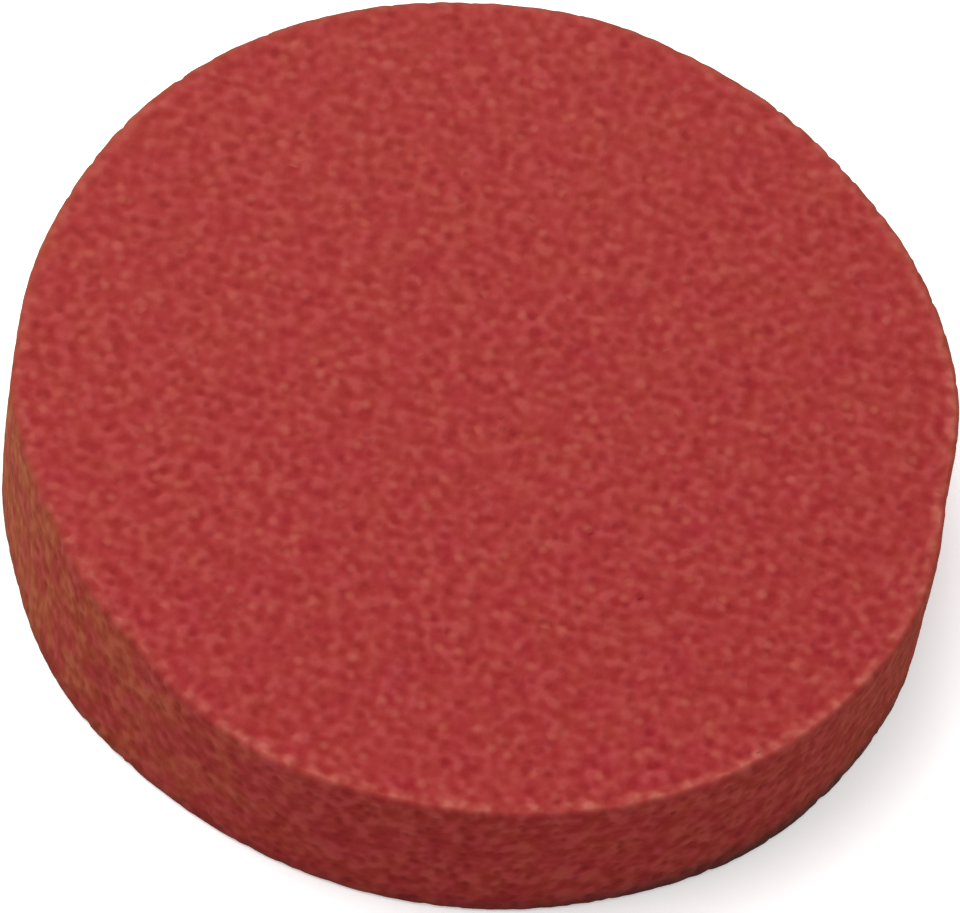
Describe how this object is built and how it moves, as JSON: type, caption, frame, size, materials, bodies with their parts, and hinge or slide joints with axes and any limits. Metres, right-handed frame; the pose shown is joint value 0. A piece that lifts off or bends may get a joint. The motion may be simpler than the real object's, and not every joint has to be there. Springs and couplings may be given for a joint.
{
  "type": "case opening friction disc",
  "caption": "Flat round pad of red sponge rubber, pressed by hand onto a screw-back watch case and turned to unscrew the back by friction.",
  "frame": {"origin": "centre of the resting face, on the surface that the disc stands on", "axes": "+Z along the disc's axis, from the resting face to the working face; X and Y lie in the resting face"},
  "size_m": [0.05, 0.05, 0.01],
  "materials": {
    "sponge_rubber": "matte"
  },
  "bodies": {
    "root": {"friction_disc": "sponge_rubber"}
  },
  "joints": []
}
